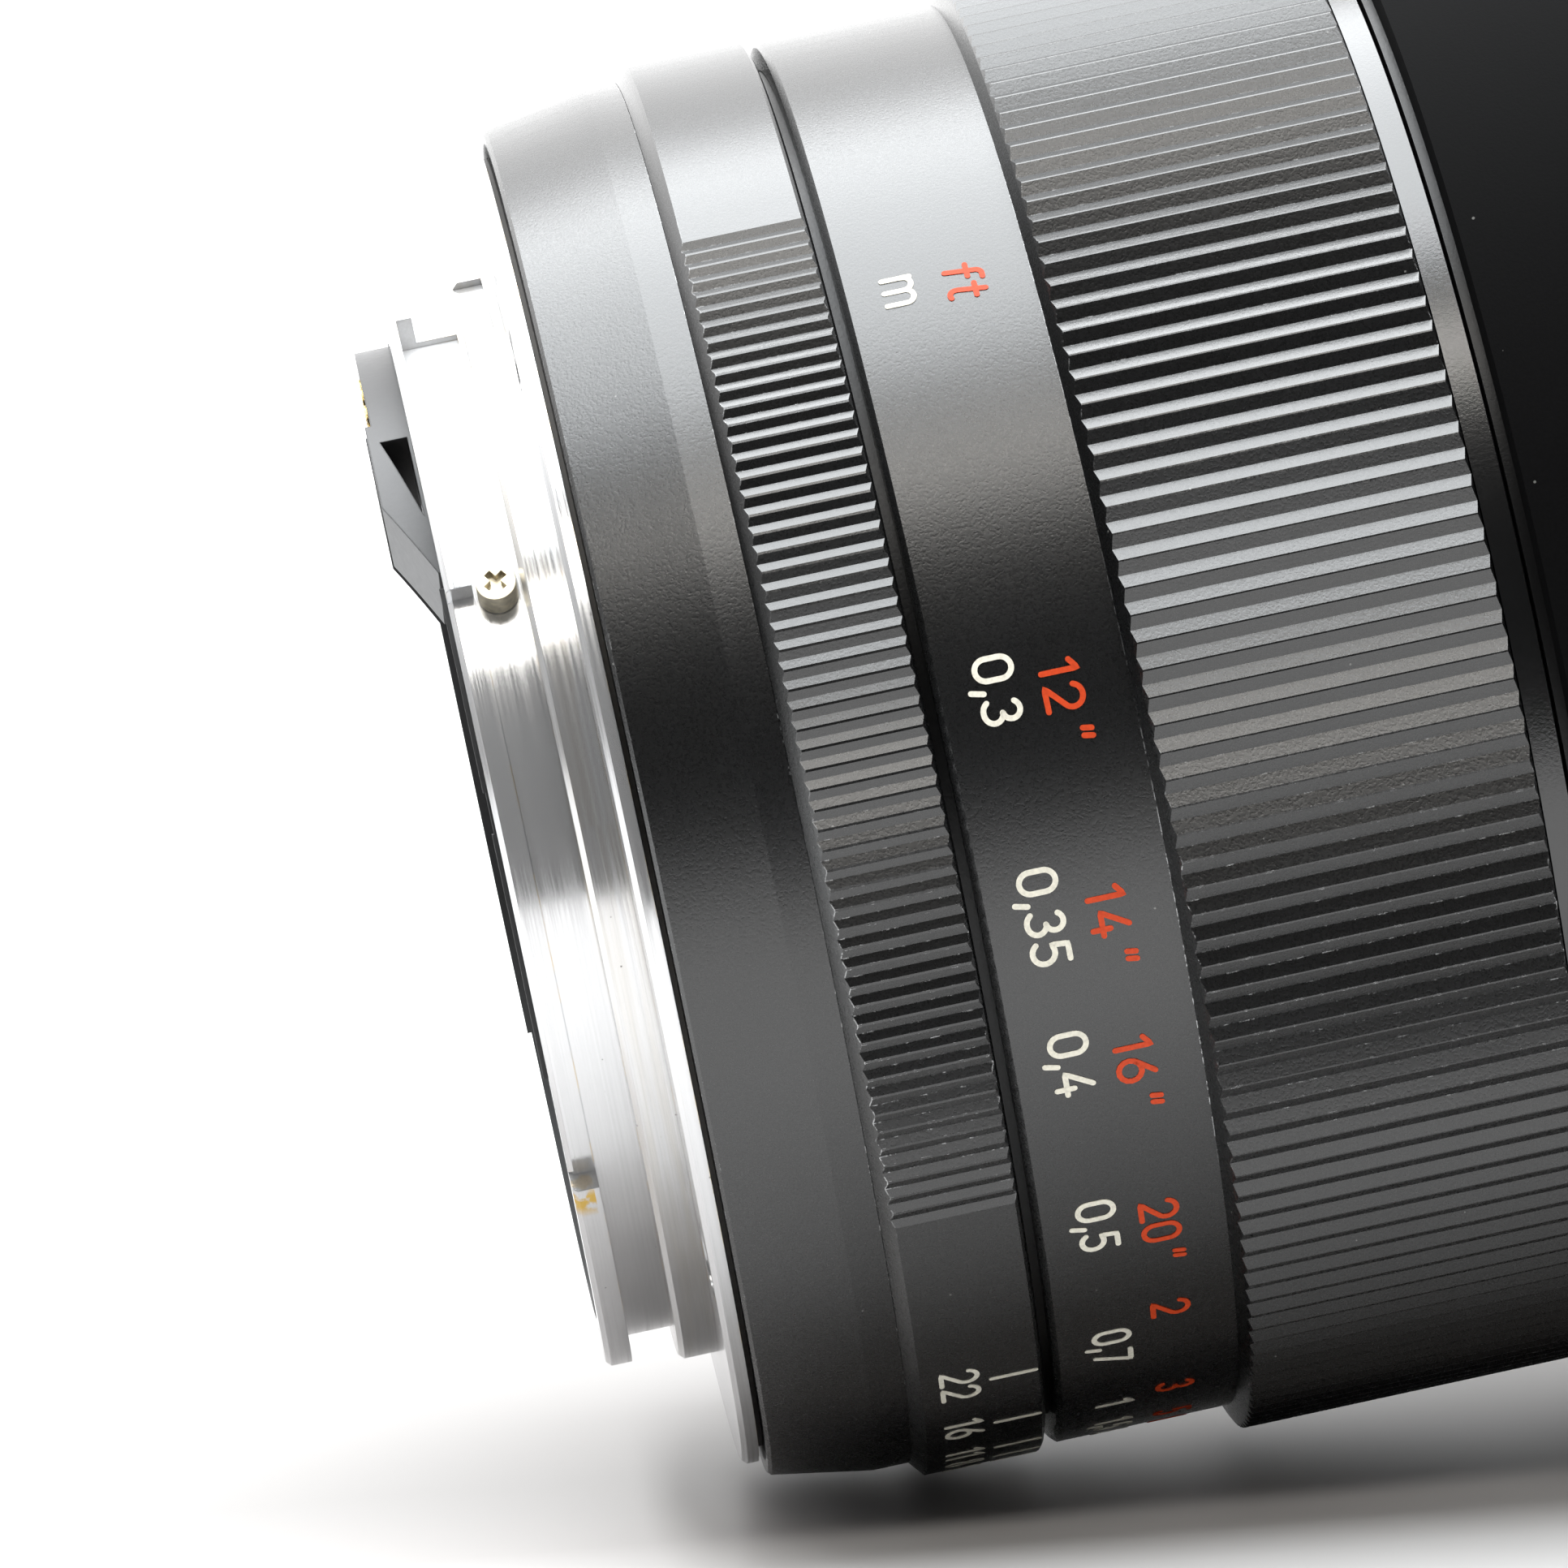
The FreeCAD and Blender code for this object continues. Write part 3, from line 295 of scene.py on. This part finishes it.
def painted_mark(name, colour):
    """Enamel filled into an engraved figure."""
    n = Nodes(name)
    mottle = n.noise(n.place(), 6.0, 4.0, 0.6)
    darker = tuple(c * 0.8 for c in colour)
    n.put(n.bsdf.inputs["Base Color"], n.mix(n.ramp(mottle, (0.3, 0.0), (0.6, 1.0)),
                                             darker, colour))
    n.bsdf.inputs["Roughness"].default_value = 0.55
    n.bsdf.inputs["Specular IOR Level"].default_value = 0.3
    n.put(n.bsdf.inputs["Normal"], n.bump(mottle, 0.2, 0.00002))
    return n.mat


SLOT_LOOKS = {
    "chrome_mount": lambda: brushed_chrome("chrome_mount_look"),
    "screw_steel": lambda: metal("screw_steel_look", (0.62, 0.61, 0.59)),
    "stop_screw_gold": lambda: metal("stop_screw_look", (0.78, 0.71, 0.55), 0.34),
    "contact_plastic": lambda: moulded("contact_plastic_look", (0.02, 0.02, 0.021), 0.42),
    "contact_gold": lambda: metal("contact_gold_look", (0.83, 0.60, 0.24), 0.22),
    "screw_black": lambda: metal("screw_black_look", (0.07, 0.07, 0.075), 0.35),
    "baffle_black": lambda: moulded("baffle_look", (0.012, 0.012, 0.013), 0.6),
    # painted shade: the brass shim between the chrome flange and the black rear ring is
    # coloured near black, so the gap reads as a dark line
    "shim_brass": lambda: metal("shim_look", (0.06, 0.057, 0.054), 0.5),
    "anodised_black": lambda: anodised("anodised_rear_look", wear=0.5),
    "index_bead": lambda: moulded("index_bead_look", (0.55, 0.015, 0.01), 0.2),
    "anodised_scale": lambda: anodised("anodised_depth_look", grain=0.7, ribs_from=8.3,
                                       wear=1.0),
    # painted shade: the inner barrel, seen down the gaps between the rings, gets a darker copy
    # of the black anodising
    "inner_barrel": lambda: anodised("inner_barrel_look", 0.0015, 0.35, level=0.35),
    "key_brass": lambda: metal("key_brass_look", (0.7, 0.55, 0.28)),
    "board_green": lambda: moulded("board_look", (0.02, 0.14, 0.05), 0.35),
    "anodised_grip": lambda: anodised("anodised_grip_look", ribs_from=23.5, wear=1.0),
    "anodised_front": lambda: anodised("anodised_front_look", rough=0.22, grain=0.6),
    "helicoid_brass": lambda: metal("helicoid_look", (0.7, 0.55, 0.28)),
    "carrier_black": lambda: anodised("carrier_look", 0.004, 0.45),
    "cell_black": lambda: anodised("cell_look", 0.004, 0.55),
    "retainer_black": lambda: anodised("retainer_look", 0.005, 0.5),
    "name_black": lambda: anodised("name_ring_look", 0.004, 0.5),
    "filter_black": lambda: anodised("filter_ring_look", 0.004, 0.38),
    "hood_chrome": lambda: metal("hood_chrome_look", (0.72, 0.72, 0.72), 0.2),
    "drive_plastic": lambda: moulded("drive_look", (0.04, 0.04, 0.045)),
    "cam_brass": lambda: metal("cam_look", (0.6, 0.47, 0.24)),
    "anodised_hood": lambda: hood_black("anodised_hood_look"),
    "coated_glass": lambda: coated_glass("glass_look", (0.65, 0.8, 1.0)),
    "blade_black": lambda: moulded("blade_look", (0.03, 0.03, 0.032), 0.4),
}


def dress_cad():
    """Give every CAD node the look of its slot."""
    made = {}
    for part in frame["record"]["subparts"]:
        name = part["material_slot"]
        if name not in made:
            made[name] = SLOT_LOOKS[name]()
        node = frame["nodes"][part["node"]]
        for index in range(len(node.data.materials)):
            node.data.materials[index] = made[name]


# ---------------------------------------------------------------- scale figures

def arc(cu, cv, ru, rv, start, end, steps=14):
    """Points of an elliptical arc, angles in degrees counter-clockwise from +u."""
    return [(cu + ru * math.cos(math.radians(start + (end - start) * i / steps)),
             cv + rv * math.sin(math.radians(start + (end - start) * i / steps)))
            for i in range(steps + 1)]


# Strokes of each figure in units of its height, with its advance width.
FIGURES = {
    "0": ([arc(0.30, 0.69, 0.30, 0.31, 0, 180) + arc(0.30, 0.31, 0.30, 0.31, 180, 360)
           + [(0.60, 0.69)]], 0.60),
    "1": ([[(0.0, 0.80), (0.26, 1.0), (0.26, 0.0)]], 0.40),
    "2": ([arc(0.31, 0.70, 0.31, 0.30, 165, -35) + [(0.0, 0.0), (0.64, 0.0)]], 0.64),
    "3": ([arc(0.28, 0.755, 0.25, 0.245, 150, -80), arc(0.27, 0.27, 0.31, 0.27, 75, -150)],
          0.58),
    "4": ([[(0.44, 1.0), (0.0, 0.27), (0.66, 0.27)], [(0.48, 0.48), (0.48, 0.0)]], 0.64),
    "5": ([[(0.56, 1.0), (0.12, 1.0), (0.08, 0.56)]
           + arc(0.28, 0.31, 0.31, 0.31, 118, -145)], 0.59),
    "6": ([[(0.44, 1.0), (0.07, 0.52)] + arc(0.32, 0.32, 0.32, 0.32, 155, 515)], 0.64),
    "7": ([[(0.0, 1.0), (0.60, 1.0), (0.24, 0.0)]], 0.60),
    "8": ([arc(0.3, 0.755, 0.24, 0.245, 0, 360), arc(0.3, 0.27, 0.30, 0.27, 0, 360)], 0.60),
    ",": ([[(0.06, 0.12), (-0.02, -0.22)]], 0.06),
    '"': ([[(0.37, 1.04), (0.33, 0.80)], [(0.58, 1.04), (0.54, 0.80)]], 0.30),
    "m": ([[(0.0, 0.0), (0.0, 0.78)], [(0.0, 0.5)] + arc(0.22, 0.56, 0.22, 0.22, 160, 0)
           + [(0.44, 0.0)], arc(0.66, 0.56, 0.22, 0.22, 165, 0) + [(0.88, 0.0)]], 0.88),
    "f": ([[(0.52, 1.0)] + arc(0.40, 0.80, 0.16, 0.20, 90, 180) + [(0.16, 0.0)],
           [(0.0, 0.60), (0.42, 0.60)]], 0.42),
    "t": ([[(0.24, 1.0), (0.14, 0.25)] + arc(0.30, 0.18, 0.16, 0.18, 180, 300),
           [(0.0, 0.72), (0.42, 0.72)]], 0.42),
    "~": ([arc(0.26, 0.40, 0.26, 0.24, 20, 340) + arc(0.86, 0.40, 0.26, 0.24, 200, 520)], 1.12),
}
GAP = 0.26                  # between two figures, in units of their height
PROUD, SUNK = 0.03, -0.06   # mm from the ring's surface to a stroke's top and foot
STROKE_STEP = 0.12          # mm between the sections of a stroke


def text_width(text):
    return sum(FIGURES[c][1] for c in text) + GAP * (len(text) - 1)


def text_strokes(text, height):
    """Strokes in mm, centred on u = 0 with the baseline at v = 0."""
    cursor, strokes = -text_width(text) / 2, []
    for c in text:
        lines, width = FIGURES[c]
        strokes += [[((u + cursor) * height, v * height) for u, v in line] for line in lines]
        cursor += width + GAP
    return strokes


def resample(line, step):
    """Points no further apart than a step, so that a stroke bends with the ring."""
    points = [line[0]]
    for a, b in zip(line, line[1:]):
        parts = max(1, math.ceil(math.dist(a, b) / step))
        points += [(a[0] + (b[0] - a[0]) * k / parts, a[1] + (b[1] - a[1]) * k / parts)
                   for k in range(1, parts + 1)]
    return points


class Marks:
    """Painted strokes wrapped on a ring, gathered into one mesh."""

    def __init__(self, name, radius, body, slot, look, stroke=0.26):
        self.name, self.radius, self.body, self.slot = name, radius, body, slot
        self.look, self.half = look, stroke / 2
        self.mesh = bmesh.new()

    def point(self, u, v, baseline, angle, lift):
        turn = math.radians(angle) + u / self.radius
        r = self.radius + lift
        return (baseline + v) * MM, -r * math.cos(turn) * MM, -r * math.sin(turn) * MM

    def stroke(self, line, baseline, angle):
        """A raised band with round ends along one line."""
        line = resample(line, STROKE_STEP)
        closed = math.dist(line[0], line[-1]) < 1e-6
        if closed:
            line[-1] = line[0]
        left, right, count = [], [], len(line)
        for i, (u, v) in enumerate(line):
            before = line[i - 1] if i else (line[-2] if closed else line[0])
            after = line[i + 1] if i + 1 < count else (line[1] if closed else line[-1])
            du, dv = after[0] - before[0], after[1] - before[1]
            size = math.hypot(du, dv) or 1.0
            nu, nv = -dv / size * self.half, du / size * self.half
            left.append((u + nu, v + nv))
            right.append((u - nu, v - nv))
        if not closed:
            first, last = line[0], line[-1]
            a0 = math.atan2(right[0][1] - first[1], right[0][0] - first[0])
            a1 = math.atan2(left[-1][1] - last[1], left[-1][0] - last[0])
            self.fan(first, [right[0]] + self.cap(first, a0) + [left[0]], baseline, angle)
            self.fan(last, [left[-1]] + self.cap(last, a1) + [right[-1]], baseline, angle)
        self.strip(left, right, baseline, angle)

    def cap(self, centre, start):
        """Points of a half circle round a stroke's end, without its two ends."""
        return [(centre[0] + self.half * math.cos(start - k * math.pi / 6),
                 centre[1] + self.half * math.sin(start - k * math.pi / 6))
                for k in range(1, 6)]

    def strip(self, left, right, baseline, angle):
        rows = [[self.mesh.verts.new(self.point(u, v, baseline, angle, lift))
                 for (u, v), lift in ((l, SUNK), (l, PROUD), (r, PROUD), (r, SUNK))]
                for l, r in zip(left, right)]
        for a, b in zip(rows, rows[1:]):
            for k in range(3):
                self.mesh.faces.new((a[k], a[k + 1], b[k + 1], b[k]))

    def fan(self, centre, rim, baseline, angle):
        middle = self.mesh.verts.new(self.point(*centre, baseline, angle, PROUD))
        top = [self.mesh.verts.new(self.point(u, v, baseline, angle, PROUD))
               for u, v in rim]
        low = [self.mesh.verts.new(self.point(u, v, baseline, angle, SUNK)) for u, v in rim]
        for k in range(len(rim) - 1):
            self.mesh.faces.new((middle, top[k], top[k + 1]))
            self.mesh.faces.new((top[k], low[k], low[k + 1], top[k + 1]))

    def write(self, text, height, baseline, angle):
        for line in text_strokes(text, height):
            self.stroke(line, baseline, angle)

    def finish(self):
        bmesh.ops.remove_doubles(self.mesh, verts=self.mesh.verts, dist=1e-7)
        bmesh.ops.recalc_face_normals(self.mesh, faces=self.mesh.faces)
        data = bpy.data.meshes.new(self.name)
        self.mesh.to_mesh(data)
        thing = bpy.data.objects.new(self.name, data)
        bpy.context.scene.collection.objects.link(thing)
        data.materials.append(self.look)
        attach(thing, self.body)
        return thing


CREAM = (0.80, 0.77, 0.66)
VERMILION = (0.60, 0.055, 0.008)
SCALE_RADIUS = 34.74
DEPTH_RADIUS = 34.96
FIGURE_HEIGHT, METRE_LINE, FEET_LINE = 1.66, 16.84, 19.72
STOP_HEIGHT, STOP_LINE, STOP_STROKE = 1.7, 9.5, 0.24
TICK_LINE, TICK_LENGTH = 11.85, 2.1
INDEX_LINE, INDEX_LENGTH = 10.4, 3.4
METRES = (("m", -36.9), ("0,3", -4.0), ("0,35", 13.3), ("0,4", 25.3), ("0,5", 40.8),
          ("0,7", 56.6), ("1", 68.3), ("1,5", 76.2), ("3", 83.6), ("~", 90.5))
FEET = (("ft", -36.6), ('12"', -2.6), ('14"', 14.6), ('16"', 26.8), ('20"', 42.4), ("2", 52.5),
        ("3", 66.9), ("5", 76.0), ("10", 83.4), ("~", 90.5))
STOPS = (("22", 33.2), ("16", 24.6), ("11", 17.0), ("8", 12.4), ("4", 6.2))
INDEX_ANGLE = 90.0


def scale_marks():
    """Distance figures on the focusing ring and depth marks on the fixed ring."""
    cream, red = painted_mark("cream_enamel", CREAM), painted_mark("red_enamel", VERMILION)
    metres = Marks("metre_figures", SCALE_RADIUS, "focusing_ring", "anodised_grip", cream)
    feet = Marks("feet_figures", SCALE_RADIUS, "focusing_ring", "anodised_grip", red)
    for text, angle in METRES:
        metres.write(text, FIGURE_HEIGHT, METRE_LINE, angle)
    for text, angle in FEET:
        feet.write(text, FIGURE_HEIGHT, FEET_LINE, angle)
    stops = Marks("depth_figures", DEPTH_RADIUS, "barrel", "anodised_scale", cream,
                  stroke=STOP_STROKE)
    for text, offset in STOPS:
        for side in (-1, 1):
            angle = INDEX_ANGLE + side * offset
            stops.write(text, STOP_HEIGHT, STOP_LINE, angle)
            stops.stroke([(0.0, 0.0), (0.0, TICK_LENGTH)], TICK_LINE, angle)
    stops.stroke([(0.0, 0.0), (0.0, INDEX_LENGTH)], INDEX_LINE, INDEX_ANGLE)
    for marks in (metres, feet, stops):
        marks.finish()


# ---------------------------------------------------------------- stage, light, camera

SEAT_SHIFT = 1.1            # mm from the rear edge of the black ring to the flange seat
ROLL_SHIFT = math.radians(4.0)
CAMERA_OFFSET = (-9.669, -409.427, 40.585)
CAMERA_FORWARD = (0.04257, 0.99404, -0.10039)
CAMERA_UP = (0.2088, 0.08941, 0.97386)
SENSOR_WIDTH, FOCAL_LENGTH = 36.0, 194.34


def camera():
    """Camera at the photograph's viewing angle."""
    roll = Matrix.Rotation(ROLL_SHIFT, 3, "X")
    forward = (roll @ Vector(CAMERA_FORWARD)).normalized()
    up = (roll @ Vector(CAMERA_UP)).normalized()
    right = forward.cross(up).normalized()
    up = right.cross(forward)
    place = roll @ Vector(CAMERA_OFFSET) + Vector((SEAT_SHIFT, 0, 0))
    data = bpy.data.cameras.new("camera")
    data.sensor_width, data.lens = SENSOR_WIDTH, FOCAL_LENGTH
    data.clip_start, data.clip_end = 0.01, 20.0
    thing = bpy.data.objects.new("camera", data)
    thing.matrix_world = Matrix.Translation(place * MM) @ Matrix(
        (right, up, -forward)).transposed().to_4x4()
    bpy.context.scene.collection.objects.link(thing)
    bpy.context.scene.camera = thing


FLOOR_TILT = math.radians(7.7)
FLOOR_ROLL = math.radians(4.0)
FLOOR_SIDE, FLOOR_NEAR, FLOOR_FAR = 0.8, -0.18, 0.9
FLOOR_GAP = 0.0002          # m between the table and the lowest point of the lens
PAPER_NEAR, PAPER_FAR, PAPER_SIDE = (0.66, 0.65, 0.645), (0.92,) * 3, (0.85,) * 3
# painted shadow: the two greys of the table under the lens and at the shadow's edge
SHADOW_EDGE_GREY, SHADOW_UNDER_LENS = (0.385, 0.368, 0.36), (0.30, 0.288, 0.282)


def floor():
    """Matt white table that the lens lies on, with a painted shadow under the lens."""
    n = Nodes("table_look")
    spot = n.add("ShaderNodeSeparateXYZ")
    n.link(n.place(), spot.inputs[0])
    # painted shadow: darkest in a band under the lens, lighter in front of it, lightest behind
    # it and to the sides; y runs from -100 to 300 mm, x from -150 to 250 mm
    across = n.math("DIVIDE", n.math("ADD", spot.outputs["Y"], 100.0), 400.0)
    paper_and_painted_shadow = n.ramp(across, (0.175, PAPER_NEAR), (0.215, SHADOW_EDGE_GREY), (0.26, SHADOW_UNDER_LENS),
                   (0.36, SHADOW_UNDER_LENS), (0.60, PAPER_FAR))
    along = n.math("DIVIDE", n.math("ADD", spot.outputs["X"], 150.0), 400.0)
    paper_and_painted_shadow = n.mix(n.ramp(along, (0.15, 0.0), (0.30, 1.0), (0.65, 1.0), (0.85, 0.0)),
                  PAPER_SIDE, paper_and_painted_shadow)
    cloud = n.math("MULTIPLY", n.noise(n.place(), 0.01, 2.0), 0.1)
    n.put(n.bsdf.inputs["Base Color"], n.mix(cloud, paper_and_painted_shadow, (0.6, 0.6, 0.6)))
    n.bsdf.inputs["Roughness"].default_value = 0.5
    n.bsdf.inputs["Specular IOR Level"].default_value = 0.25
    data = bpy.data.meshes.new("table")
    data.from_pydata([(-FLOOR_SIDE, FLOOR_NEAR, 0), (FLOOR_SIDE, FLOOR_NEAR, 0),
                      (FLOOR_SIDE, FLOOR_FAR, 0), (-FLOOR_SIDE, FLOOR_FAR, 0)],
                     [], [(0, 1, 2, 3)])
    data.materials.append(n.mat)
    thing = bpy.data.objects.new("table", data)
    bpy.context.scene.collection.objects.link(thing)
    turn = Matrix.Rotation(FLOOR_ROLL, 4, "X") @ Matrix.Rotation(FLOOR_TILT, 4, "Y")
    normal = turn.to_3x3() @ Vector((0, 0, 1))
    low = min(normal.dot(v.co) for obj in frame["nodes"].values() for v in obj.data.vertices)
    thing.matrix_world = Matrix.Translation(normal * (low - FLOOR_GAP)) @ turn


def softbox(name, elevation, distance, width, length, radiance, colour, along):
    """Soft panel facing the lens, its elevation counted from the camera side over the top."""
    data = bpy.data.lights.new(name, "AREA")
    data.shape = "RECTANGLE"
    data.size, data.size_y = length, width
    data.energy = radiance * math.pi * width * length
    data.color = colour
    thing = bpy.data.objects.new(name, data)
    lift = math.radians(elevation)
    thing.location = (along, -distance * math.cos(lift), distance * math.sin(lift))
    thing.rotation_euler = (math.radians(90.0 - elevation), 0.0, 0.0)
    bpy.context.scene.collection.objects.link(thing)


ROOM_DARK, ROOM_WALL = 0.035, 2.7


def room():
    """White wall behind the lens, dark room on the camera side."""
    world = bpy.data.worlds.new("studio")
    world.use_nodes = True
    tree = world.node_tree
    coords = tree.nodes.new("ShaderNodeTexCoord")
    split = tree.nodes.new("ShaderNodeSeparateXYZ")
    ramp = tree.nodes.new("ShaderNodeMapRange")
    ramp.interpolation_type = "SMOOTHSTEP"
    tree.links.new(coords.outputs["Generated"], split.inputs[0])
    tree.links.new(split.outputs["Y"], ramp.inputs["Value"])
    for name, value in (("From Min", -0.1), ("From Max", 0.55), ("To Min", ROOM_DARK),
                        ("To Max", ROOM_WALL)):
        ramp.inputs[name].default_value = value
    back = tree.nodes["Background"]
    tree.links.new(ramp.outputs["Result"], back.inputs["Strength"])
    back.inputs["Color"].default_value = (1.0, 1.0, 1.0, 1.0)
    bpy.context.scene.world = world
    bpy.context.scene.view_settings.view_transform = "Standard"


def lighting():
    room()
    softbox("top_box", 85.5, 0.60, 0.64, 0.64, 9.5, (0.95, 0.98, 1.0), 0.12)
    softbox("front_strip", 42.5, 0.70, 0.130, 0.64, 7.6, (1.0, 0.97, 0.92), 0.10)


dress_cad()
scale_marks()
floor()
lighting()
camera()
